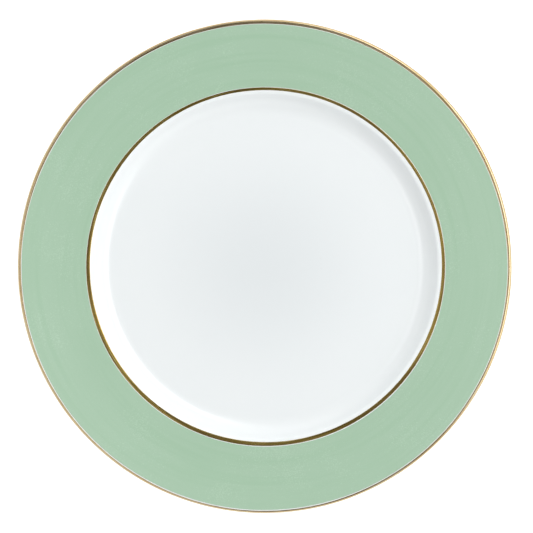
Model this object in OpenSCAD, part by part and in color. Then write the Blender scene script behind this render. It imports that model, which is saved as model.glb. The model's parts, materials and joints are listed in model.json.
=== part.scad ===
// China dinner plate: a porcelain body with its clear glaze, an enamelled rim, two gold
// lines and a plain printed mark under the base. Millimetres, +Z up, standing on z = 0,
// with the axis of the plate on the Z axis.
//
// The section of the plate is one outline in three stretches: the face (axis to lip), the
// underside (lip to foot) and the base (foot to axis). Every coat is a shell on part of
// that outline, between two distances from the unglazed body.

/* [Plate] */
// Diameter over the gilded edge
plate_d = 270; // [225:1:324]
// Height of the gilded edge above the table
plate_h = 21.6; // [18:0.1:26]

/* [Well] */
// Diameter of the corner where the wall of the well meets the rim
well_d = 190; // [158:1:228]
// Depth from that corner to the floor of the well
well_depth = 9.2; // [7.7:0.1:11]
// Slope of the wall of the well, in degrees
wall_angle = 58; // [48:1:70]
// Radius of the cove between the floor and the wall
cove_r = 11; // [9:0.1:13.2]
// Radius of the verge, where the wall turns into the rim
verge_r = 2.4; // [2:0.1:2.9]
// Height of the well floor above the table
floor_h = 6.2; // [5.1:0.1:7.5]

/* [Rim] */
// How far the middle of the rim dips below a straight line from the well to the edge
rim_dip = 0.4; // [0.3:0.01:0.5]
// Radius of the bend in the middle of the rim
rim_bend_r = 300; // [250:5:360]

/* [China] */
// Thickness of the floor
floor_t = 3.6; // [3:0.1:4.4]
// Thickness of the wall of the well
wall_t = 3.6; // [3:0.1:4.3]
// Thickness of the rim next to the verge
rim_t = 3.2; // [2.6:0.1:3.9]
// Thickness of the rim at its edge
edge_t = 2.4; // [2:0.1:2.9]
// Radius on each corner of the lip
lip_r = 1.1; // [0.9:0.01:1.32]

/* [Foot ring] */
// Distance from the corner of the well, inwards, to the face that stands on the table
foot_inset = 13; // [10.8:0.1:15.6]
// Width of that face
foot_w = 2.2; // [1.8:0.1:2.7]
// Lean of the sides of the foot ring from upright, in degrees
foot_draft = 15; // [12:1:18]
// Radius on each corner of that face
foot_corner_r = 0.5; // [0.4:0.1:0.6]
// Radius of the fillets between the foot ring and the body
foot_fillet_r = 1.6; // [1.3:0.1:2]
// Height of the ring's tread that is wiped free of glaze
bare_h = 0.7; // [0.6:0.05:0.85]

/* [Coats] */
// Thickness of the clear glaze
glaze_t = 0.2; // [0.16:0.01:0.24]
// Thickness of the enamel on the rim
enamel_t = 0.12; // [0.1:0.01:0.15]
// Thickness of the gold lines
gold_t = 0.1; // [0.08:0.01:0.12]
// Thickness of the printed mark
print_t = 0.1; // [0.08:0.01:0.12]

/* [Decoration] */
// Distance from the corner of the well, outwards, to the gold line around it
verge_line_gap = 1.3; // [1:0.1:1.6]
// Width of the gold line around the well
verge_line_w = 1.85; // [1.55:0.05:2.2]
// Width of the gold on the face side of the edge
edge_line_w = 1.9; // [1.6:0.1:2.3]
// Width of the gold on the underside of the edge
edge_line_under_w = 1.2; // [1:0.1:1.5]
// Hairline of bare glaze between the enamel and each gold line
hairline_w = 0.3; // [0.25:0.01:0.36]
// Diameter of the outer ring of the printed mark
mark_d = 24; // [20:1:29]
// Width of each printed ring
mark_line_w = 0.6; // [0.5:0.01:0.72]
// Gap between the two printed rings
mark_gap = 2.8; // [2.3:0.1:3.4]
// Number of dots between the rings
mark_dots = 24; // [20:1:29]
// Diameter of each dot
mark_dot_d = 1; // [0.8:0.1:1.2]

/* [Hidden] */
$fn = 180;

// Largest angle between two points of a rounded corner, in degrees
arc_step = 4;

coats_t = glaze_t + gold_t;
body_r = plate_d / 2 - coats_t;
body_h = plate_h - coats_t;
floor_z = floor_h - glaze_t;
base_z = floor_h - floor_t;
foot_r = well_d / 2 - foot_inset;
foot_mid_r = foot_r - foot_w / 2;
verge_line_r = well_d / 2 + verge_line_gap;

// Corners of the face. The outer half of the rim is tangent to the rounding of the lip,
// whose top is the top of the body, and the face ends where that rounding ends.
wall_foot = [well_d / 2 - well_depth / tan(wall_angle), floor_z];
verge = [well_d / 2, floor_z + well_depth];
rim_bend = (verge + [body_r, body_h]) / 2 - [0, rim_dip];
lip_centre = [body_r - lip_r, body_h - lip_r];
edge_angle = heading(rim_bend, lip_centre) + asin(lip_r / span(rim_bend, lip_centre));
lip_top = [body_r, rim_bend.y + (body_r - rim_bend.x) * tan(edge_angle)];
lip_side = [body_r, lip_centre.y];

// Corners of the underside, which follows the face at the thickness of the china
rim_angle = heading(verge, rim_bend);
bend_t = (rim_t + edge_t) / 2;
lip_bottom = [body_r, lip_top.y - edge_t / cos(edge_angle)];
bend_under = [rim_bend.x, rim_bend.y - bend_t / cos(edge_angle)];
rim_under_start = [verge.x, verge.y - rim_t / cos(rim_angle)];
wall_under_start = wall_foot + wall_t * [sin(wall_angle), -cos(wall_angle)];
verge_under = crossing(
    wall_under_start, wall_angle, rim_under_start, heading(rim_under_start, bend_under)
);
wall_foot_under = crossing(wall_under_start, wall_angle, [0, base_z], 0);
foot_rise = base_z * tan(foot_draft);

// Each corner is [radius from the axis, height, radius of its rounding]
face_corners = [
    [0, floor_z, 0],
    [wall_foot.x, wall_foot.y, cove_r],
    [verge.x, verge.y, verge_r],
    [rim_bend.x, rim_bend.y, rim_bend_r],
    [lip_top.x, lip_top.y, lip_r],
    [lip_side.x, lip_side.y, 0],
];
under_corners = [
    [lip_side.x, lip_side.y, 0],
    [lip_bottom.x, lip_bottom.y, lip_r],
    [bend_under.x, bend_under.y, rim_bend_r],
    [verge_under.x, verge_under.y, verge_r + wall_t],
    [wall_foot_under.x, wall_foot_under.y, cove_r],
    [foot_r + foot_rise, base_z, foot_fillet_r],
    [foot_r, 0, foot_corner_r],
    [foot_mid_r, 0, 0],
];
base_corners = [
    [foot_mid_r, 0, 0],
    [foot_r - foot_w, 0, foot_corner_r],
    [foot_r - foot_w - foot_rise, base_z, foot_fillet_r],
    [0, base_z, 0],
];

face = rounded(face_corners);
underside = rounded(under_corners);
base = rounded(base_corners);

// Direction from a to b, in degrees
function heading(a, b) = atan2(b[1] - a[1], b[0] - a[0]);

// Angle from direction a to direction b, between -180 and 180 degrees
function turn(a, b) = (b - a + 540) % 360 - 180;

// Distance between a and b
function span(a, b) = norm([b[0] - a[0], b[1] - a[1]]);

// Point where the line through p at direction a meets the line through q at direction b
function crossing(p, a, q, b) =
    p + [cos(a), sin(a)] * ((q.x - p.x) * sin(b) - (q.y - p.y) * cos(b)) / sin(b - a);

// Stations [x, z, direction] along a path with its corners rounded
function rounded(corners) = [
    for (i = [0 : len(corners) - 1])
        if (i == 0)
            [corners[0][0], corners[0][1], heading(corners[0], corners[1])]
        else if (i == len(corners) - 1)
            [corners[i][0], corners[i][1], heading(corners[i - 1], corners[i])]
        else
            each corner_arc(corners, i)
];

function corner_bend(corners, i) =
    turn(heading(corners[i - 1], corners[i]), heading(corners[i], corners[i + 1]));

// Length of straight that the rounding of a corner asks for on either side of it
function corner_reach(corners, i) =
    i == 0 || i == len(corners) - 1 ? 0 : corners[i][2] * tan(abs(corner_bend(corners, i)) / 2);

// Length of the straight to corner j that the rounding of corner i can have: half of it, or
// all that the rounding of corner j leaves
function corner_room(corners, i, j) =
    let (length = span(corners[i], corners[j]))
    max(length / 2, length - corner_reach(corners, j));

function corner_arc(corners, i) =
    let (
        start = heading(corners[i - 1], corners[i]),
        bend = corner_bend(corners, i),
        reach = min(
            corner_reach(corners, i),
            corner_room(corners, i, i - 1),
            corner_room(corners, i, i + 1)
        ),
        r = sign(bend) * reach / tan(abs(bend) / 2),
        first = [corners[i][0], corners[i][1]] - reach * [cos(start), sin(start)],
        centre = first + r * [-sin(start), cos(start)],
        steps = ceil(abs(bend) / arc_step)
    )
    [
        for (k = [0 : steps])
            let (a = start + bend * k / steps)
                [centre.x + r * sin(a), centre.y - r * cos(a), a]
    ];

// Points of a path, moved outwards from the body by a distance
function raised(path, by) = [for (s = path) [s[0] - by * sin(s[2]), s[1] + by * cos(s[2])]];

function reversed(list) = [for (i = [len(list) - 1 : -1 : 0]) list[i]];

// Section of a coat along a path, between two distances from the body
module coat_section(path, inner, outer) {
    polygon(concat(raised(path, inner), reversed(raised(path, outer))));
}

// Section of everything between two radii and two heights, or past the plate by default
module window(from_r, to_r = plate_d, from_z = -plate_h, to_z = 2 * plate_h) {
    translate([from_r, from_z])
        square([to_r - from_r, to_z - from_z]);
}

// The porcelain body: floor, wall, rim and foot ring, shaped in one piece
module china_body() {
    color("white")
        rotate_extrude()
            polygon(concat(raised(face, 0), raised(underside, 0), raised(base, 0)));
}

// Clear glaze over the face and the edge, and down the underside to the foot ring
module face_glaze() {
    color("ghostwhite")
        rotate_extrude()
            intersection() {
                coat_section(concat(face, underside), 0, glaze_t);
                window(0, from_z = bare_h);
            }
}

// Clear glaze over the base, inside the foot ring
module base_glaze() {
    color("ghostwhite")
        rotate_extrude()
            intersection() {
                coat_section(base, 0, glaze_t);
                window(0, from_z = bare_h);
            }
}

// Green enamel on the glaze of the rim, between the two gold lines
module rim_enamel() {
    color("darkseagreen")
        rotate_extrude()
            intersection() {
                coat_section(face, glaze_t, glaze_t + enamel_t);
                window(
                    verge_line_r + verge_line_w + hairline_w,
                    plate_d / 2 - edge_line_w - hairline_w
                );
            }
}

// Gold line on the glaze, where the rim starts
module verge_gold_line() {
    color("darkgoldenrod")
        rotate_extrude()
            intersection() {
                coat_section(face, glaze_t, coats_t);
                window(verge_line_r, verge_line_r + verge_line_w);
            }
}

// Gold line over the lip, from the face to the underside
module edge_gold_line() {
    color("goldenrod")
        rotate_extrude()
            difference() {
                coat_section(concat(face, underside), glaze_t, coats_t);
                window(-plate_d, plate_d / 2 - edge_line_w);
                window(-plate_d, plate_d / 2 - edge_line_under_w, to_z = lip_side.y);
            }
}

// Plain printed mark under the base: two rings with a circle of dots between them
module base_mark() {
    dot_circle_r = mark_d / 2 - mark_line_w - mark_gap / 2;
    print_z = base_z - glaze_t - print_t;
    color("seagreen") {
        printed_ring(mark_d / 2, print_z);
        printed_ring(mark_d / 2 - mark_line_w - mark_gap, print_z);
        for (i = [0 : mark_dots - 1])
            rotate(i * 360 / mark_dots)
                translate([dot_circle_r, 0, print_z])
                    cylinder(d = mark_dot_d, h = print_t);
    }
}

module printed_ring(outer_r, z) {
    translate([0, 0, z])
        difference() {
            cylinder(r = outer_r, h = print_t);
            translate([0, 0, -print_t])
                cylinder(r = outer_r - mark_line_w, h = 3 * print_t);
        }
}

china_body();
face_glaze();
base_glaze();
rim_enamel();
verge_gold_line();
edge_gold_line();
base_mark();
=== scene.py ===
import json
import math

import bmesh
import bpy
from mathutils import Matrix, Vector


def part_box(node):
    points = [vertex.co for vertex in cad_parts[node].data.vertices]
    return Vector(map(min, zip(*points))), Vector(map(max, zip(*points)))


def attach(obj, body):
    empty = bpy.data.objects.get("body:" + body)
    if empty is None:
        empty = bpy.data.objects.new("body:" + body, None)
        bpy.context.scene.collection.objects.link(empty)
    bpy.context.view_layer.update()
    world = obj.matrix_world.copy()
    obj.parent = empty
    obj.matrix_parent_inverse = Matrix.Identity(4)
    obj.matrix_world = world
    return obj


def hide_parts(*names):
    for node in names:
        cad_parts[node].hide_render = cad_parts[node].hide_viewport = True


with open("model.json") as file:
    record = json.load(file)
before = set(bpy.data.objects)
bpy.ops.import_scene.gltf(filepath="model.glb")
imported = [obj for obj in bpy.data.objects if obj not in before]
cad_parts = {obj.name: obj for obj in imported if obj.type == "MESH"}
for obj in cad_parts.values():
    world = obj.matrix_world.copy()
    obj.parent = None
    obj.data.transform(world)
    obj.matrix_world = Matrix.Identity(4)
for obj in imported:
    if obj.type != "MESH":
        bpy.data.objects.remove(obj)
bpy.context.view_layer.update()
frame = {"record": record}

# ---------------------------------------------------------------------------------------------
# China body. One piece of hard white porcelain, shaped with a profile tool on a turning plaster
# mould and fired. The glaze hides all of it but the tread of the foot ring, which is wiped bare
# before the glaze firing and then ground flat.
# ---------------------------------------------------------------------------------------------
MM = 0.001

plate_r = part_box("edge_gold_line")[1].x
plate_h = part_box("edge_gold_line")[1].z
body_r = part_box("china_body")[1].x
body_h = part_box("china_body")[1].z
glaze_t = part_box("face_glaze")[1].x - body_r
gold_t = plate_r - body_r - glaze_t
mount_places = {mount["name"]: mount["pos_m"] for mount in frame["record"]["mounts"]}
floor_z = mount_places["well_floor"][2] - glaze_t
foot_mid_r = mount_places["foot_ring"][0]

verge_line_w = 1.85 * MM
verge_line_gap = 1.3 * MM
well_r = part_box("verge_gold_line")[1].x - verge_line_w - verge_line_gap
well_depth = 9.2 * MM
wall_angle = math.radians(58)
cove_r = 11 * MM
verge_r = 2.4 * MM
rim_dip = 0.4 * MM
rim_bend_r = 300 * MM
rim_sag = 0.15 * MM
lip_r = 1.1 * MM
floor_t = 3.6 * MM
wall_t = 3.6 * MM
rim_t = 3.2 * MM
edge_t = 2.4 * MM
foot_w = 2.2 * MM
foot_draft = math.radians(15)
foot_corner_r = 0.5 * MM
foot_fillet_r = 1.6 * MM

# A straight stretch has about the square root of length / fineness stations. An end closer than
# same_place is already there, and points of a mesh closer than merged_within are merged.
fineness = 0.25 * MM
same_place = 0.01 * MM
merged_within = 0.001 * MM


def heading(a, b):
    """The angle of the way from one point to another."""
    return math.atan2(b[1] - a[1], b[0] - a[0])


def crossing(p, a, q, b):
    """Where the line through p with heading a meets the line through q with heading b."""
    along = ((q[0] - p[0]) * math.sin(b) - (q[1] - p[1]) * math.cos(b)) / math.sin(b - a)
    return (p[0] + along * math.cos(a), p[1] + along * math.sin(a))


def straight(start, end, direction):
    """Stations between two points, closest together near the ends, where the curves begin."""
    steps = math.ceil(math.sqrt(math.dist(start, end) / fineness))
    shares = [(1 - math.cos(math.pi * k / steps)) / 2 for k in range(1, steps)]
    return [
        (start[0] + t * (end[0] - start[0]), start[1] + t * (end[1] - start[1]), direction)
        for t in shares
    ]


def rounded(corners, direction, arc_step=math.radians(4)):
    """Stations (radius, height, heading) along a section, with each corner's own rounding."""
    turns = []
    reaches = [0]
    for before, corner, after in zip(corners, corners[1:], corners[2:]):
        bend = heading(corner, after) - heading(before, corner)
        bend = (bend + math.pi) % math.tau - math.pi
        turns.append(bend)
        reaches.append(corner[2] * math.tan(abs(bend) / 2))
    reaches.append(0)
    stations = [(corners[0][0], corners[0][1], direction)]
    for i, bend in enumerate(turns, start=1):
        before, corner, after = corners[i - 1], corners[i], corners[i + 1]
        reach = reaches[i]
        for neighbour, other in ((before, reaches[i - 1]), (after, reaches[i + 1])):
            length = math.dist(corner[:2], neighbour[:2])
            reach = min(reach, max(length / 2, length - other))
        radius = math.copysign(reach / math.tan(abs(bend) / 2), bend)
        first = (corner[0] - reach * math.cos(direction), corner[1] - reach * math.sin(direction))
        stations += straight(stations[-1][:2], first, direction)
        centre = (first[0] - radius * math.sin(direction), first[1] + radius * math.cos(direction))
        steps = max(6, math.ceil(abs(bend) / arc_step))
        for k in range(steps + 1):
            a = direction + bend * k / steps
            stations.append((centre[0] + radius * math.sin(a), centre[1] - radius * math.cos(a), a))
        direction += bend
    end = corners[-1][:2]
    if math.dist(stations[-1][:2], end) > same_place:
        stations += straight(stations[-1][:2], end, direction)
        stations.append((end[0], end[1], direction))
    return stations


base_z = floor_z + glaze_t - floor_t
foot_r = foot_mid_r + foot_w / 2
foot_rise = base_z * math.tan(foot_draft)
wall_foot = (well_r - well_depth / math.tan(wall_angle), floor_z)
verge = (well_r, floor_z + well_depth)
rim_bend = ((well_r + body_r) / 2, (verge[1] + body_h) / 2 - rim_dip)
lip_centre = (body_r - lip_r, body_h - lip_r)
edge_angle = heading(rim_bend, lip_centre) + math.asin(lip_r / math.dist(rim_bend, lip_centre))
lip_top = (body_r, rim_bend[1] + (body_r - rim_bend[0]) * math.tan(edge_angle))
lip_side = (body_r, lip_centre[1])
lip_bottom = (body_r, lip_top[1] - edge_t / math.cos(edge_angle))
bend_under = (rim_bend[0], rim_bend[1] - (rim_t + edge_t) / 2 / math.cos(edge_angle))
rim_under = (verge[0], verge[1] - rim_t / math.cos(heading(verge, rim_bend)))
wall_under = (
    wall_foot[0] + wall_t * math.sin(wall_angle),
    wall_foot[1] - wall_t * math.cos(wall_angle),
)
verge_under = crossing(wall_under, wall_angle, rim_under, heading(rim_under, bend_under))
wall_foot_under = crossing(wall_under, wall_angle, (0, base_z), 0)

face = rounded(
    [
        (0, floor_z, 0),
        (*wall_foot, cove_r),
        (*verge, verge_r),
        (*rim_bend, rim_bend_r),
        (*lip_top, lip_r),
        (*lip_side, 0),
    ],
    direction=0,
)
underside = rounded(
    [
        (*lip_side, 0),
        (*lip_bottom, lip_r),
        (*bend_under, rim_bend_r),
        (*verge_under, verge_r + wall_t),
        (*wall_foot_under, cove_r),
        (foot_r + foot_rise, base_z, foot_fillet_r),
        (foot_r, 0, foot_corner_r),
        (foot_mid_r, 0, 0),
    ],
    direction=-math.pi / 2,
)
base = rounded(
    [
        (foot_mid_r, 0, 0),
        (foot_r - foot_w, 0, foot_corner_r),
        (foot_r - foot_w - foot_rise, base_z, foot_fillet_r),
        (0, base_z, 0),
    ],
    direction=-math.pi,
)

outline = face + underside[1:] + base[1:]
places = [0.0]
for here, there in zip(outline, outline[1:]):
    places.append(places[-1] + math.dist(here[:2], there[:2]))
lip_place = places[len(face) - 1]
tread_place = places[len(face) + len(underside) - 2]

spline = bpy.data.curves.new("outline", "CURVE")
spline.dimensions = "3D"
spline.splines.new("POLY").points.add(len(outline) - 1)
for point, (radius, height, _) in zip(spline.splines[0].points, outline):
    point.co = (radius, 0, height, 1)
outline_curve = bpy.data.objects.new("outline", spline)

FLOAT = "NodeSocketFloat"
WHOLE = "NodeSocketInt"
COLOUR = "NodeSocketColor"
VECTOR = "NodeSocketVector"
OBJECT = "NodeSocketObject"
MATERIAL = "NodeSocketMaterial"
GEOMETRY = "NodeSocketGeometry"


def feed_socket(tree, socket, feed):
    """Links an input to another node's output, or sets it to a plain value."""
    if isinstance(feed, bpy.types.NodeSocket):
        tree.links.new(feed, socket)
    else:
        socket.default_value = feed


def add(tree, kind, feeds=None, out=None, **settings):
    """Adds a node, feeds its inputs by name or number, and returns its first or named output."""
    node = tree.nodes.new(kind)
    for name, value in settings.items():
        setattr(node, name, value)
    sockets = [socket for socket in node.inputs if socket.enabled]
    for key, feed in (feeds or {}).items():
        feed_socket(tree, sockets[key] if isinstance(key, int) else node.inputs[key], feed)
    outputs = {socket.name: socket for socket in node.outputs if socket.enabled}
    return outputs[out] if out else next(iter(outputs.values()))


def calc(tree, operation, *feeds):
    """A math node on one, two or three numbers."""
    return add(tree, "ShaderNodeMath", dict(enumerate(feeds)), operation=operation)


def vector_calc(tree, operation, *feeds):
    """A math node on one or two vectors, or on a vector and a number."""
    return add(tree, "ShaderNodeVectorMath", dict(enumerate(feeds)), operation=operation)


def vector(tree, x=0.0, y=0.0, z=0.0):
    """A vector put together from its three parts."""
    return add(tree, "ShaderNodeCombineXYZ", {"X": x, "Y": y, "Z": z})


def part_of(tree, whole, axis):
    """The X, Y or Z part of a vector."""
    return add(tree, "ShaderNodeSeparateXYZ", {"Vector": whole}, out=axis)


def ramp(tree, value, low, high, shape="LINEAR"):
    """From 0 to 1 as a value goes from low to high, and no further."""
    feeds = {"Value": value, "From Min": low, "From Max": high}
    return add(tree, "ShaderNodeMapRange", feeds, interpolation_type=shape)


def noise(tree, place, scale, detail=2.0):
    """Smooth random values round 0.5, the same at each run."""
    feeds = {"Vector": place, "Scale": scale, "Detail": detail}
    return add(tree, "ShaderNodeTexNoise", feeds)


def new_group(name, kind, inputs, outputs):
    """A node group with named sockets; returns the tree, its inputs and its output node."""
    tree = bpy.data.node_groups.new(name, kind)
    for label, (socket_type, default) in inputs.items():
        socket = tree.interface.new_socket(label, in_out="INPUT", socket_type=socket_type)
        if default is not None:
            socket.default_value = default
    for label, socket_type in outputs.items():
        tree.interface.new_socket(label, in_out="OUTPUT", socket_type=socket_type)
    return tree, tree.nodes.new("NodeGroupInput").outputs, tree.nodes.new("NodeGroupOutput")


def hand_edge(tree, angle, off_centre, bearing, tremble, seed):
    """How far a hand-made edge stands from its true circle at each angle.

    The circle runs off centre towards the bearing, and the hand adds a slow sway and a finer,
    smaller flick, both about zero.
    """
    lean = calc(tree, "COSINE", calc(tree, "SUBTRACT", angle, bearing))
    circle = vector(tree, calc(tree, "COSINE", angle), calc(tree, "SINE", angle), seed)
    sway = noise(tree, circle, 1.6, 1.0)
    flick = noise(tree, circle, 28.0)
    flick_share = 0.3
    middle = 0.5 * (1 + flick_share)
    brush = calc(tree, "MULTIPLY_ADD", flick, flick_share, calc(tree, "SUBTRACT", sway, middle))
    return calc(tree, "MULTIPLY_ADD", brush, tremble, calc(tree, "MULTIPLY", off_centre, lean))


def build_wheel():
    """Geometry Nodes tree that turns a section about the upright axis, as a potter's wheel does.

    The section comes laid out flat: X is how far along the plate's outline a station is, and Y is
    how far off it. The two edges of a coat can run off centre and tremble, and pull the stations
    near them along the outline. The rim sags a little from the kiln, most at two opposite places.
    """
    tree, given, end = new_group(
        "turned_on_the_wheel",
        "GeometryNodeTree",
        {
            "Section": (GEOMETRY, None),
            "Outline": (OBJECT, None),
            "Steps Round": (WHOLE, 360),
            "Start Off Centre": (FLOAT, 0.0),
            "Start Bearing": (FLOAT, 0.0),
            "Finish Off Centre": (FLOAT, 0.0),
            "Finish Bearing": (FLOAT, 0.0),
            "Tremble": (FLOAT, 0.0),
            "Seed": (FLOAT, 0.0),
            "Rim Sag": (FLOAT, rim_sag),
            "Sag From": (FLOAT, well_r),
            "Sag To": (FLOAT, plate_r),
            "Finish": (MATERIAL, None),
        },
        {"Turned": GEOMETRY},
    )
    section = given["Section"]
    count = add(
        tree, "GeometryNodeAttributeDomainSize", {"Geometry": section}, out="Point Count"
    )
    grid = add(
        tree,
        "GeometryNodeMeshGrid",
        {
            "Size X": 1.0,
            "Size Y": 1.0,
            "Vertices X": calc(tree, "ADD", given["Steps Round"], 1),
            "Vertices Y": count,
        },
    )
    cell = add(tree, "GeometryNodeInputPosition")
    share_round = calc(tree, "ADD", part_of(tree, cell, "X"), 0.5)
    share_along = calc(tree, "ADD", part_of(tree, cell, "Y"), 0.5)
    angle = calc(tree, "MULTIPLY", share_round, -math.tau)
    station = add(
        tree,
        "FunctionNodeFloatToInt",
        {0: calc(tree, "MULTIPLY", share_along, calc(tree, "SUBTRACT", count, 1))},
        rounding_mode="ROUND",
    )

    def at_station(value, data_type):
        """A value of the section's own station that a point of the grid belongs to."""
        return add(
            tree,
            "GeometryNodeSampleIndex",
            {"Geometry": section, "Value": value, "Index": station},
            data_type=data_type,
            domain="POINT",
        )

    def pull(name):
        """How much of an edge's sway a station follows, from 0 to 1."""
        value = add(tree, "GeometryNodeInputNamedAttribute", {"Name": name}, data_type="FLOAT")
        return at_station(value, "FLOAT")

    flat = at_station(add(tree, "GeometryNodeInputPosition"), "FLOAT_VECTOR")
    along = part_of(tree, flat, "X")
    lift = part_of(tree, flat, "Y")
    tremble = given["Tremble"]
    start = hand_edge(
        tree, angle, given["Start Off Centre"], given["Start Bearing"], tremble, given["Seed"]
    )
    finish = hand_edge(
        tree,
        angle,
        given["Finish Off Centre"],
        given["Finish Bearing"],
        tremble,
        calc(tree, "ADD", given["Seed"], 5.0),
    )
    along = calc(tree, "MULTIPLY_ADD", start, pull("start_pull"), along)
    along = calc(tree, "MULTIPLY_ADD", finish, pull("finish_pull"), along)
    curve = add(tree, "GeometryNodeObjectInfo", {"Object": given["Outline"]}, out="Geometry")
    spot = {"Curves": curve, "Length": along}
    by_length = {"mode": "LENGTH", "data_type": "FLOAT"}
    point = add(tree, "GeometryNodeSampleCurve", spot, out="Position", **by_length)
    tangent = add(tree, "GeometryNodeSampleCurve", spot, out="Tangent", **by_length)
    tangent = vector_calc(tree, "NORMALIZE", tangent)
    run = part_of(tree, tangent, "X")
    rise = part_of(tree, tangent, "Z")
    radius = part_of(tree, point, "X")
    height = part_of(tree, point, "Z")
    radius = calc(tree, "SUBTRACT", radius, calc(tree, "MULTIPLY", rise, lift))
    height = calc(tree, "MULTIPLY_ADD", run, lift, height)
    rim_share = ramp(tree, radius, given["Sag From"], given["Sag To"], "SMOOTHSTEP")
    lobes = calc(tree, "POWER", calc(tree, "COSINE", angle), 2.0)
    sag = calc(tree, "MULTIPLY", calc(tree, "MULTIPLY", rim_share, lobes), given["Rim Sag"])
    turned = vector(
        tree,
        calc(tree, "MULTIPLY", radius, calc(tree, "COSINE", angle)),
        calc(tree, "MULTIPLY", radius, calc(tree, "SINE", angle)),
        calc(tree, "SUBTRACT", height, sag),
    )
    shell = add(tree, "GeometryNodeSetPosition", {"Geometry": grid, "Position": turned})
    shell = add(tree, "GeometryNodeMergeByDistance", {"Geometry": shell, "Distance": merged_within})
    shell = add(tree, "GeometryNodeSetShadeSmooth", {"Geometry": shell}, domain="FACE")
    shell = add(tree, "GeometryNodeRealizeInstances", {"Geometry": shell})
    shell = add(tree, "GeometryNodeSetMaterial", {"Geometry": shell, "Material": given["Finish"]})
    tree.links.new(shell, end.inputs["Turned"])
    return tree


def socket_name(word):
    """The name of the socket that a keyword such as ripple_scale stands for."""
    return word.replace("_", " ").title()


def made_by(tree, mesh, name, **sizes):
    """Runs a Geometry Nodes tree on a mesh and keeps the result as a plain mesh piece."""
    maker = bpy.data.objects.new(name + "_maker", mesh)
    bpy.context.scene.collection.objects.link(maker)
    modifier = maker.modifiers.new("maker", "NODES")
    modifier.node_group = tree
    identifiers = {
        item.name: item.identifier
        for item in tree.interface.items_tree
        if item.in_out == "INPUT"
    }
    for word, value in sizes.items():
        modifier[identifiers[socket_name(word)]] = value
    depsgraph = bpy.context.evaluated_depsgraph_get()
    made = bpy.data.meshes.new_from_object(maker.evaluated_get(depsgraph), depsgraph=depsgraph)
    bpy.data.objects.remove(maker)
    made.name = name
    piece = bpy.data.objects.new(name, made)
    bpy.context.scene.collection.objects.link(piece)
    return piece


def turn(name, section, finish, **sizes):
    """Turns a section of stations (place along, lift, start pull, finish pull) into a piece."""
    mesh = bpy.data.meshes.new(name + "_section")
    mesh.from_pydata([(station[0], station[1], 0) for station in section], [], [])
    for column, attribute in ((2, "start_pull"), (3, "finish_pull")):
        pulls = mesh.attributes.new(attribute, "FLOAT", "POINT")
        pulls.data.foreach_set("value", [station[column] for station in section])
    return made_by(wheel, mesh, name, outline=outline_curve, finish=finish, **sizes)


wheel = build_wheel()

bare_china_white = (0.83, 0.81, 0.77, 1)
bare_china_shade = (0.76, 0.73, 0.68, 1)
shelf_dirt = (0.46, 0.42, 0.37, 1)


def new_material(name, constants):
    """A material with one Principled shader and its plain sockets set."""
    material = bpy.data.materials.new(name)
    material.use_nodes = True
    tree = material.node_tree
    shader = tree.nodes["Principled BSDF"]
    for socket, value in constants.items():
        shader.inputs[socket].default_value = value
    return material, tree, shader


def grouped(tree, group, **feeds):
    """Places a shader group in a material, fed by keywords; returns its outputs."""
    node = tree.nodes.new("ShaderNodeGroup")
    node.node_tree = group
    for word, feed in feeds.items():
        feed_socket(tree, node.inputs[socket_name(word)], feed)
    return node.outputs


def tinted(tree, mask, colour, tint):
    """One colour turned into another where the mask is 1."""
    return add(tree, "ShaderNodeMix", {0: mask, 1: colour, 2: tint}, data_type="RGBA")


def finished(tree, shader, colour, roughness, normal):
    """Joins a material's colour, roughness and normal to its shader."""
    tree.links.new(colour, shader.inputs["Base Color"])
    tree.links.new(roughness, shader.inputs["Roughness"])
    tree.links.new(normal, shader.inputs["Normal"])


def object_place(tree):
    """Object coordinates, which on these pieces are places in the plate's own frame."""
    return add(tree, "ShaderNodeTexCoord", out="Object")


def level_place(tree):
    """Object coordinates at height nought, so that their length is the distance off the axis."""
    return vector_calc(tree, "MULTIPLY", object_place(tree), (1, 1, 0))


def build_mottle():
    """Shader group: slow, cloudy change from one colour to another, as in any fired coat."""
    tree, given, end = new_group(
        "fired_mottle",
        "ShaderNodeTree",
        {
            "Colour": (COLOUR, (0.8, 0.8, 0.8, 1)),
            "Cloud Colour": (COLOUR, (0.7, 0.7, 0.7, 1)),
            "Clouds": (FLOAT, 30.0),
            "Grain": (FLOAT, 1500.0),
            "Grain Share": (FLOAT, 0.3),
        },
        {"Colour": COLOUR, "Mask": FLOAT},
    )
    place = object_place(tree)
    clouds = noise(tree, place, given["Clouds"], 4.0)
    grain = noise(tree, place, given["Grain"])
    both = add(tree, "ShaderNodeMix", {0: given["Grain Share"], 1: clouds, 2: grain})
    mask = ramp(tree, both, 0.3, 0.7)
    colour = tinted(tree, mask, given["Colour"], given["Cloud Colour"])
    tree.links.new(colour, end.inputs["Colour"])
    tree.links.new(mask, end.inputs["Mask"])
    return tree


def build_specks():
    """Shader group: scattered small specks, such as pinholes and iron spots from the kiln."""
    tree, given, end = new_group(
        "kiln_specks",
        "ShaderNodeTree",
        {
            "Cells": (FLOAT, 200.0),
            "Size": (FLOAT, 0.12),
            "Share": (FLOAT, 0.2),
        },
        {"Mask": FLOAT},
    )
    feeds = {"Vector": object_place(tree), "Scale": given["Cells"]}
    near = add(tree, "ShaderNodeTexVoronoi", feeds, out="Distance")
    tint = add(tree, "ShaderNodeTexVoronoi", feeds, out="Color")
    chance = add(tree, "ShaderNodeSeparateColor", {"Color": tint}, out="Red")
    kept = calc(tree, "LESS_THAN", chance, given["Share"])
    inside = ramp(tree, near, given["Size"], 0.0, "SMOOTHSTEP")
    tree.links.new(calc(tree, "MULTIPLY", kept, inside), end.inputs["Mask"])
    return tree


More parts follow.
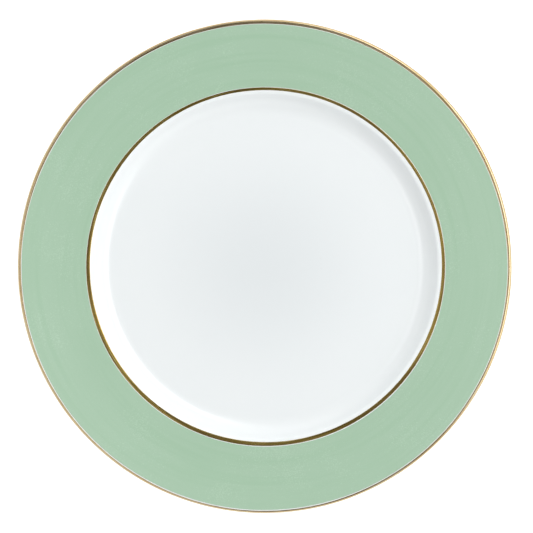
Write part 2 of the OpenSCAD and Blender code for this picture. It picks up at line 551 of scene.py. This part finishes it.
def build_skin():
    """Shader group: the slow ripple and the fine peel of a fired surface, as a normal."""
    tree, given, end = new_group(
        "fired_skin",
        "ShaderNodeTree",
        {
            "Ripple": (FLOAT, 12e-6),
            "Ripple Scale": (FLOAT, 40.0),
            "Peel": (FLOAT, 1e-6),
            "Peel Scale": (FLOAT, 700.0),
            "Pits": (FLOAT, 0.0),
            "Pit Depth": (FLOAT, 10e-6),
        },
        {"Normal": VECTOR},
    )
    place = object_place(tree)
    ripple = noise(tree, place, given["Ripple Scale"], 1.0)
    peel = noise(tree, place, given["Peel Scale"])
    height = calc(tree, "MULTIPLY", ripple, given["Ripple"])
    height = calc(tree, "MULTIPLY_ADD", peel, given["Peel"], height)
    pits = calc(tree, "MULTIPLY", given["Pits"], given["Pit Depth"])
    height = calc(tree, "SUBTRACT", height, pits)
    normal = add(tree, "ShaderNodeBump", {"Height": height, "Distance": 1.0, "Strength": 1.0})
    tree.links.new(normal, end.inputs["Normal"])
    return tree


mottle = build_mottle()
specks = build_specks()
skin = build_skin()


def bare_china():
    """Unglazed porcelain: matt, finely grained, and greyed where it has stood on shelves."""
    material, tree, shader = new_material("bare_china", {"IOR": 1.5})
    fired = grouped(
        tree,
        mottle,
        colour=bare_china_white,
        cloud_colour=bare_china_shade,
        clouds=60.0,
        grain=2600.0,
        grain_share=0.6,
    )
    dirt = grouped(tree, specks, cells=900.0, size=0.35, share=0.25)["Mask"]
    colour = tinted(tree, calc(tree, "MULTIPLY", dirt, 0.7), fired["Colour"], shelf_dirt)
    roughness = calc(tree, "MULTIPLY_ADD", fired["Mask"], 0.2, 0.5)
    pitted = grouped(
        tree, skin, ripple=4e-6, peel=8e-6, peel_scale=3200.0, pits=dirt, pit_depth=30e-6
    )
    finished(tree, shader, colour, roughness, pitted["Normal"])
    return material


body_section = [(place, 0, 0, 0) for place in places]
china = turn("porcelain", body_section, bare_china(), steps_round=300)
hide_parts("china_body")
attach(china, "root")

# ---------------------------------------------------------------------------------------------
# Face glaze. A clear feldspar glaze, dipped on, that covers the face, the lip and the underside
# down to the foot ring, where it is sponged off. Painted shade darkens the middle of the well.
# ---------------------------------------------------------------------------------------------
bare_h = 0.7 * MM
wiped_edge_sway = 0.3 * MM
wiped_edge_reach = 2.5 * MM
# Painted shade: inside this radius the glaze colour is painted darker, most at the middle.
painted_shade_r = well_r * 0.95

glaze_white = (0.858, 0.888, 0.892, 1)
glaze_cloud = (0.843, 0.877, 0.884, 1)
# Painted shade: the darker glaze colour at the middle of the well.
glaze_middle_shade = (0.755, 0.79, 0.80, 1)
iron_spot = (0.30, 0.24, 0.18, 1)


def glazed_china():
    """White porcelain under its clear gloss glaze, with a few pinholes and iron spots."""
    material, tree, shader = new_material("glazed_china", {"IOR": 1.52})
    clouds = grouped(
        tree,
        mottle,
        colour=glaze_white,
        cloud_colour=glaze_cloud,
        clouds=22.0,
        grain=900.0,
        grain_share=0.2,
    )
    radius = vector_calc(tree, "LENGTH", level_place(tree))
    # Painted shade: the glaze colour darkens smoothly from near the wall of the well to its middle.
    middle_shaded = ramp(tree, radius, painted_shade_r, 0.0, "SMOOTHSTEP")
    colour = tinted(tree, middle_shaded, clouds["Colour"], glaze_middle_shade)
    spots = grouped(tree, specks, cells=130.0, size=0.028, share=0.06)["Mask"]
    colour = tinted(tree, calc(tree, "MULTIPLY", spots, 0.8), colour, iron_spot)
    pinholes = grouped(tree, specks, cells=260.0, size=0.05, share=0.12)["Mask"]
    roughness = calc(tree, "MULTIPLY_ADD", clouds["Mask"], 0.03, 0.045)
    glassy = grouped(tree, skin, ripple=14e-6, ripple_scale=38.0, peel=0.6e-6, pits=pinholes)
    finished(tree, shader, colour, roughness, glassy["Normal"])
    return material


def reached(level, axis, after=0.0):
    """How far along the outline it next comes to a radius (axis 0) or a height (axis 1)."""
    for i, (here, there) in enumerate(zip(outline, outline[1:])):
        share = (level - here[axis]) / ((there[axis] - here[axis]) or math.inf)
        if places[i] >= after and 0 <= share <= 1:
            return places[i] + share * (places[i + 1] - places[i])


def coat(start, finish, under, over, reach=None):
    """Section of a coat between two places along the outline and two distances off the body.

    An edge of the coat is rounded off, with one more station just past the rounding, where the
    flat shading starts. Its pull falls from 1 to 0 over the reach, or else the whole width. An end
    that is on the axis is left open and isn't pulled. The hidden side has every fourth station.
    """
    thickness = over - under
    reach = reach or finish - start
    edges = [edge for edge in (start, finish) if 0 < edge < places[-1]]
    rounding = [thickness * (1 - math.cos(math.radians(lean))) for lean in (30, 60, 90)]
    rounding.append(1.5 * thickness)

    def off_edge(place):
        """How far a place is from the nearer edge of the coat."""
        return min(abs(place - edge) for edge in edges)

    def station(place, lift):
        """A station with its lift off the body and the pull of each edge on it."""
        pulls = [
            max(0.0, 1 - abs(place - end) / reach) if end in edges else 0.0
            for end in (start, finish)
        ]
        return (place, lift, *pulls)

    inside = [place for place in places if start < place < finish]
    flat = [place for place in inside if off_edge(place) > 2 * thickness]
    curved = [start + fall for fall in rounding if start in edges]
    curved += [finish - fall for fall in rounding if finish in edges]
    top_side = []
    for place in sorted([start, *flat, *curved, finish]):
        fall = min(off_edge(place) / thickness, 1)
        top_side.append(station(place, under + thickness * math.sqrt(1 - (1 - fall) ** 2)))
    under_side = [station(place, under) for place in [finish, *flat[-3:1:-4], start]]
    return under_side + top_side if finish not in edges else top_side + under_side


clear_glaze = glazed_china()
foot_outside = reached(bare_h, axis=1, after=lip_place)
glaze_section = coat(0.0, foot_outside, 0.0, glaze_t, reach=wiped_edge_reach)
face_glaze = turn("glaze_on_face", glaze_section, clear_glaze, tremble=wiped_edge_sway, seed=11.0)
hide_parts("face_glaze")
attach(face_glaze, "root")

# ---------------------------------------------------------------------------------------------
# Base glaze. The same clear glaze, from the same dip, on the sunk base inside the foot ring. It
# starts on the ring's inner wall, just above the tread, which is wiped bare.
# ---------------------------------------------------------------------------------------------
foot_inside = reached(bare_h, axis=1, after=tread_place)
base_section = coat(foot_inside, places[-1], 0.0, glaze_t, reach=wiped_edge_reach)
base_glaze = turn("glaze_on_base", base_section, clear_glaze, tremble=wiped_edge_sway, seed=23.0)
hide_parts("base_glaze")
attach(base_glaze, "root")

# ---------------------------------------------------------------------------------------------
# Rim enamel. An opaque pale green enamel laid over the glaze from gold line to gold line, with
# a hairline of white left at each side. It is banded on while the plate spins, then fired.
# ---------------------------------------------------------------------------------------------
hairline_w = 0.3 * MM
enamel_t = 0.12 * MM
verge_line_outside_r = well_r + verge_line_gap + verge_line_w
enamel_outside_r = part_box("rim_enamel")[1].x

# How far the enamel and the gold reach down into the glaze that they are fired on.
bite = 0.02 * MM

enamel_green = (0.365, 0.532, 0.387, 1)
enamel_thin = (0.392, 0.555, 0.414, 1)
enamel_thick = (0.348, 0.52, 0.37, 1)
enamel_speck = (0.70, 0.80, 0.69, 1)


def build_strokes():
    """Shader group: streaks that run round the plate, as a brush leaves them on the wheel."""
    tree, given, end = new_group(
        "wheel_strokes",
        "ShaderNodeTree",
        {"Round": (FLOAT, 4.0), "Across": (FLOAT, 600.0), "Detail": (FLOAT, 3.0)},
        {"Value": FLOAT},
    )
    level = level_place(tree)
    radius = vector_calc(tree, "LENGTH", level)
    bearing = vector_calc(tree, "NORMALIZE", level)
    turned = vector_calc(tree, "SCALE", bearing, given["Round"])
    height = part_of(tree, object_place(tree), "Z")
    across = calc(tree, "MULTIPLY", calc(tree, "SUBTRACT", radius, height), given["Across"])
    stroke = vector_calc(tree, "ADD", turned, vector(tree, z=across))
    value = noise(tree, stroke, 1.0, given["Detail"])
    tree.links.new(value, end.inputs["Value"])
    return tree


def green_enamel():
    """Opaque pale green enamel with a satin gloss, faint bands and a few pale specks."""
    material, tree, shader = new_material("green_enamel", {"IOR": 1.5})
    clouds = grouped(
        tree,
        mottle,
        colour=enamel_green,
        cloud_colour=enamel_thin,
        clouds=34.0,
        grain=1500.0,
        grain_share=0.55,
    )
    bands = grouped(tree, strokes, round=1.6, across=420.0)["Value"]
    banded = ramp(tree, bands, 0.45, 0.7)
    colour = tinted(tree, calc(tree, "MULTIPLY", banded, 0.7), clouds["Colour"], enamel_thick)
    pale = grouped(tree, specks, cells=190.0, size=0.05, share=0.1)["Mask"]
    colour = tinted(tree, calc(tree, "MULTIPLY", pale, 0.9), colour, enamel_speck)
    roughness = calc(tree, "MULTIPLY_ADD", clouds["Mask"], 0.1, 0.2)
    satin = grouped(
        tree,
        skin,
        ripple=10e-6,
        ripple_scale=60.0,
        peel=1.4e-6,
        peel_scale=1600.0,
        pits=pale,
        pit_depth=12e-6,
    )
    finished(tree, shader, colour, roughness, satin["Normal"])
    return material


strokes = build_strokes()
enamel_section = coat(
    reached(verge_line_outside_r + hairline_w, axis=0),
    reached(enamel_outside_r, axis=0),
    glaze_t - bite,
    glaze_t + enamel_t,
    reach=6 * MM,
)
enamel = turn(
    "green_rim",
    enamel_section,
    green_enamel(),
    steps_round=720,
    finish_off_centre=0.5 * MM,
    finish_bearing=math.radians(250),
    start_off_centre=0.6 * MM,
    start_bearing=math.radians(330),
    tremble=0.25 * MM,
    seed=31.0,
)
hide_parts("rim_enamel")
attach(enamel, "root")

# ---------------------------------------------------------------------------------------------
# Verge gold line. Bright gold, lined by hand with a loaded brush held against the spinning
# plate just outside the verge of the well. It swells and thins as the plate runs off centre.
# ---------------------------------------------------------------------------------------------
line_gold = (0.53, 0.375, 0.085, 1)
line_gold_pale = (0.60, 0.46, 0.18, 1)
gold_thin = (0.30, 0.205, 0.06, 1)


def fired_gold(name, gold, pale_gold, thin_from, thin_to, wear):
    """Fired bright gold, streaked by the brush, browner where it lies thin, duller with wear."""
    material, tree, shader = new_material(name, {"Metallic": 1.0})
    fine = grouped(tree, strokes, round=5.0, across=2600.0)["Value"]
    broad = grouped(tree, strokes, round=2.2, across=500.0, detail=1.0)["Value"]
    colour = tinted(tree, ramp(tree, fine, 0.4, 0.75), gold, pale_gold)
    colour = tinted(tree, ramp(tree, broad, thin_from, thin_to), colour, gold_thin)
    roughness = calc(tree, "MULTIPLY_ADD", fine, 0.22, 0.14 + wear)
    brushed = grouped(tree, skin, ripple=5e-6, ripple_scale=120.0, peel=1.2e-6, peel_scale=2400.0)
    finished(tree, shader, colour, roughness, brushed["Normal"])
    return material


verge_line_section = coat(
    reached(well_r + verge_line_gap, axis=0),
    reached(verge_line_outside_r, axis=0),
    glaze_t - bite,
    glaze_t + gold_t,
)
verge_line = turn(
    "gold_round_well",
    verge_line_section,
    fired_gold("lined_gold", line_gold, line_gold_pale, thin_from=0.42, thin_to=0.66, wear=0.0),
    steps_round=1440,
    start_off_centre=0.55 * MM,
    start_bearing=math.radians(7),
    finish_off_centre=0.52 * MM,
    finish_bearing=math.radians(330),
    tremble=0.35 * MM,
    seed=47.0,
)
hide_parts("verge_gold_line")
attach(verge_line, "root")

# ---------------------------------------------------------------------------------------------
# Edge gold line. The same gold drawn round the lip with the flat of the brush, from a little
# way in on the face, over the edge, to a narrower band underneath. Handling has worn it pale.
# ---------------------------------------------------------------------------------------------
edge_line_w = 1.9 * MM
edge_line_under_w = 1.2 * MM

edge_gold = (0.54, 0.41, 0.22, 1)
edge_gold_pale = (0.64, 0.54, 0.37, 1)

edge_line_section = coat(
    reached(plate_r - edge_line_w, axis=0),
    reached(plate_r - edge_line_under_w, axis=0, after=lip_place),
    glaze_t - bite,
    glaze_t + gold_t,
    reach=1.6 * MM,
)
edge_line = turn(
    "gold_on_lip",
    edge_line_section,
    fired_gold("edge_gold", edge_gold, edge_gold_pale, thin_from=0.6, thin_to=0.8, wear=0.02),
    steps_round=720,
    start_off_centre=0.6 * MM,
    start_bearing=math.radians(250),
    finish_off_centre=0.15 * MM,
    finish_bearing=math.radians(120),
    tremble=0.25 * MM,
    seed=59.0,
)
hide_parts("edge_gold_line")
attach(edge_line, "root")

# ---------------------------------------------------------------------------------------------
# Base mark. A plain printed ornament under the base, two rings with a ring of dots between. It
# is a transfer in green ceramic colour, laid on the glaze by hand and fired.
# ---------------------------------------------------------------------------------------------
mark_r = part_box("base_mark")[1].x
mark_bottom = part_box("base_mark")[0].z
mark_line_w = 0.6 * MM
mark_gap = 2.8 * MM
mark_dots = 24
mark_dot_d = 1.0 * MM
print_t = 0.1 * MM

print_green = (0.045, 0.11, 0.06, 1)
print_faded = (0.10, 0.19, 0.115, 1)
print_gap = (0.55, 0.62, 0.56, 1)


def build_transfer():
    """Geometry Nodes tree for two printed rings with a ring of dots between them."""
    tree, given, end = new_group(
        "printed_transfer",
        "GeometryNodeTree",
        {
            "Sheet": (GEOMETRY, None),
            "Radius": (FLOAT, mark_r),
            "Line Width": (FLOAT, mark_line_w),
            "Gap": (FLOAT, mark_gap),
            "Dots": (WHOLE, mark_dots),
            "Dot Diameter": (FLOAT, mark_dot_d),
            "Depth": (FLOAT, print_t),
            "Bottom": (FLOAT, mark_bottom),
            "Seed": (WHOLE, 5),
            "Finish": (MATERIAL, None),
        },
        {"Printed": GEOMETRY},
    )
    middle = calc(tree, "MULTIPLY_ADD", given["Depth"], 0.5, given["Bottom"])
    line = add(
        tree,
        "GeometryNodeCurvePrimitiveQuadrilateral",
        {"Width": given["Line Width"], "Height": given["Depth"]},
    )
    outer = calc(tree, "MULTIPLY_ADD", given["Line Width"], -0.5, given["Radius"])
    inner = calc(tree, "SUBTRACT", outer, given["Gap"])
    parts = []
    for radius in (outer, inner):
        ring = add(tree, "GeometryNodeCurvePrimitiveCircle", {"Resolution": 144, "Radius": radius})
        parts.append(add(tree, "GeometryNodeCurveToMesh", {"Curve": ring, "Profile Curve": line}))
    halfway = calc(tree, "MULTIPLY", calc(tree, "ADD", outer, inner), 0.5)
    dot_circle = add(
        tree,
        "GeometryNodeCurvePrimitiveCircle",
        {"Resolution": given["Dots"], "Radius": halfway},
    )
    dot_r = calc(tree, "MULTIPLY", given["Dot Diameter"], 0.5)
    dot = add(
        tree,
        "GeometryNodeMeshCone",
        {
            "Vertices": 20,
            "Radius Top": dot_r,
            "Radius Bottom": calc(tree, "MULTIPLY", dot_r, 0.9),
            "Depth": given["Depth"],
        },
    )
    half_depth = calc(tree, "MULTIPLY", given["Depth"], -0.5)
    dot = add(
        tree,
        "GeometryNodeTransform",
        {"Geometry": dot, "Translation": vector(tree, z=half_depth)},
    )
    size = add(
        tree,
        "FunctionNodeRandomValue",
        {"Min": 0.9, "Max": 1.06, "Seed": given["Seed"]},
        data_type="FLOAT",
    )
    dots = add(
        tree,
        "GeometryNodeInstanceOnPoints",
        {
            "Points": dot_circle,
            "Instance": dot,
            "Scale": vector(tree, size, size, 1.0),
        },
    )
    parts.append(dots)
    join = tree.nodes.new("GeometryNodeJoinGeometry")
    for part in parts:
        tree.links.new(part, join.inputs["Geometry"])
    placed = add(
        tree,
        "GeometryNodeTransform",
        {"Geometry": join.outputs["Geometry"], "Translation": vector(tree, z=middle)},
    )
    placed = add(tree, "GeometryNodeRealizeInstances", {"Geometry": placed})
    placed = add(tree, "GeometryNodeSetMaterial", {"Geometry": placed, "Material": given["Finish"]})
    tree.links.new(placed, end.inputs["Printed"])
    return tree


def printed_colour():
    """Green ceramic print, uneven where the transfer lay unevenly, with pinholes in it."""
    material, tree, shader = new_material("green_print", {"IOR": 1.5})
    ink = grouped(
        tree,
        mottle,
        colour=print_green,
        cloud_colour=print_faded,
        clouds=500.0,
        grain=5000.0,
        grain_share=0.4,
    )
    missed = grouped(tree, specks, cells=3200.0, size=0.3, share=0.08)["Mask"]
    colour = tinted(tree, missed, ink["Colour"], print_gap)
    roughness = calc(tree, "MULTIPLY_ADD", ink["Mask"], 0.15, 0.28)
    printed = grouped(tree, skin, ripple=3e-6, peel=1.5e-6, peel_scale=4000.0, pits=missed)
    finished(tree, shader, colour, roughness, printed["Normal"])
    return material


mark = made_by(
    build_transfer(),
    bpy.data.meshes.new("transfer_sheet"),
    "print_under_base",
    radius=mark_r,
    line_width=mark_line_w,
    gap=mark_gap,
    dots=mark_dots,
    dot_diameter=mark_dot_d,
    depth=print_t,
    bottom=mark_bottom,
    finish=printed_colour(),
)
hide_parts("base_mark")
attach(mark, "root")

# ---------------------------------------------------------------------------------------------
# Studio. A plain pale floor, a long soft light on the right, a fainter one higher up on the left,
# pale surroundings that darken overhead, and a camera straight above the plate.
# ---------------------------------------------------------------------------------------------
floor_r = 4.0
floor_white = (0.90, 0.90, 0.895, 1)
floor_shade = (0.87, 0.87, 0.865, 1)
floor_glow = 0.45

bm = bmesh.new()
bmesh.ops.create_circle(bm, cap_ends=True, cap_tris=False, segments=128, radius=floor_r)
floor_mesh = bpy.data.meshes.new("floor")
bm.to_mesh(floor_mesh)
bm.free()
floor = bpy.data.objects.new("floor", floor_mesh)
bpy.context.scene.collection.objects.link(floor)
material, tree, shader = new_material("floor_paper", {"Emission Strength": floor_glow})
paper = grouped(
    tree,
    mottle,
    colour=floor_white,
    cloud_colour=floor_shade,
    clouds=3.0,
    grain=400.0,
    grain_share=0.3,
)
tree.links.new(paper["Colour"], shader.inputs["Base Color"])
tree.links.new(paper["Colour"], shader.inputs["Emission Color"])
tree.links.new(calc(tree, "MULTIPLY_ADD", paper["Mask"], 0.1, 0.8), shader.inputs["Roughness"])
floor_mesh.materials.append(material)

zenith_dark = 0.12
surround = 1.32
surround_lean = 0.05
brighter_side = math.radians(309)
dark_within = math.radians(35)
bright_beyond = math.radians(84)

world = bpy.data.worlds.new("studio")
world.use_nodes = True
tree = world.node_tree
direction = add(tree, "ShaderNodeTexCoord", out="Generated")
off_zenith = calc(tree, "ARCCOSINE", part_of(tree, direction, "Z"))
lit = ramp(tree, off_zenith, dark_within, bright_beyond, "SMOOTHSTEP")
toward = (math.cos(brighter_side), math.sin(brighter_side), 0)
lean = vector_calc(tree, "DOT_PRODUCT", direction, toward)
side_light = calc(tree, "MULTIPLY_ADD", lean, surround_lean, surround)
glow = add(tree, "ShaderNodeMix", {0: lit, 1: zenith_dark, 2: side_light})
tree.links.new(glow, tree.nodes["Background"].inputs["Color"])
bpy.context.scene.world = world


def softbox(name, bearing, zenith, distance, width, height, radiance):
    """A soft light, brightest in the middle, at a bearing and an angle off the upright."""
    light = bpy.data.lights.new(name, "AREA")
    light.shape = "RECTANGLE"
    light.size = width
    light.size_y = height
    light.energy = radiance * math.pi * width * height
    light.use_nodes = True
    tree = light.node_tree
    spot = add(tree, "ShaderNodeNewGeometry", out="Parametric")
    brightness = 1.0
    for axis in "XY":
        off_middle = calc(tree, "ABSOLUTE", calc(tree, "SUBTRACT", part_of(tree, spot, axis), 0.5))
        fading = ramp(tree, off_middle, 0.5, 0.0, "SMOOTHSTEP")
        brightness = calc(tree, "MULTIPLY", fading, brightness)
    tree.links.new(brightness, tree.nodes["Emission"].inputs["Strength"])
    lamp = bpy.data.objects.new(name, light)
    lean = math.radians(zenith)
    turned = math.radians(bearing)
    lamp.location = (
        distance * math.sin(lean) * math.cos(turned),
        distance * math.sin(lean) * math.sin(turned),
        distance * math.cos(lean),
    )
    lamp.rotation_euler = (lean, 0, turned + math.pi / 2)
    lamp.visible_camera = False
    bpy.context.scene.collection.objects.link(lamp)


softbox("key_light", bearing=25, zenith=35, distance=2.0, width=5.52, height=1.44, radiance=5.4)
softbox("fill_light", bearing=184, zenith=26, distance=2.0, width=4.4, height=1.40, radiance=1.75)

view_width = 0.2913
view_off_centre = (0.93 * MM, -0.16 * MM)
sensor_mm = 36
lens_mm = 800

camera_data = bpy.data.cameras.new("camera")
camera_data.sensor_width = sensor_mm
camera_data.lens = lens_mm
camera = bpy.data.objects.new("camera", camera_data)
camera.location = (*view_off_centre, plate_h + view_width * lens_mm / sensor_mm)
bpy.context.scene.collection.objects.link(camera)
bpy.context.scene.camera = camera
bpy.context.scene.view_settings.view_transform = "Standard"
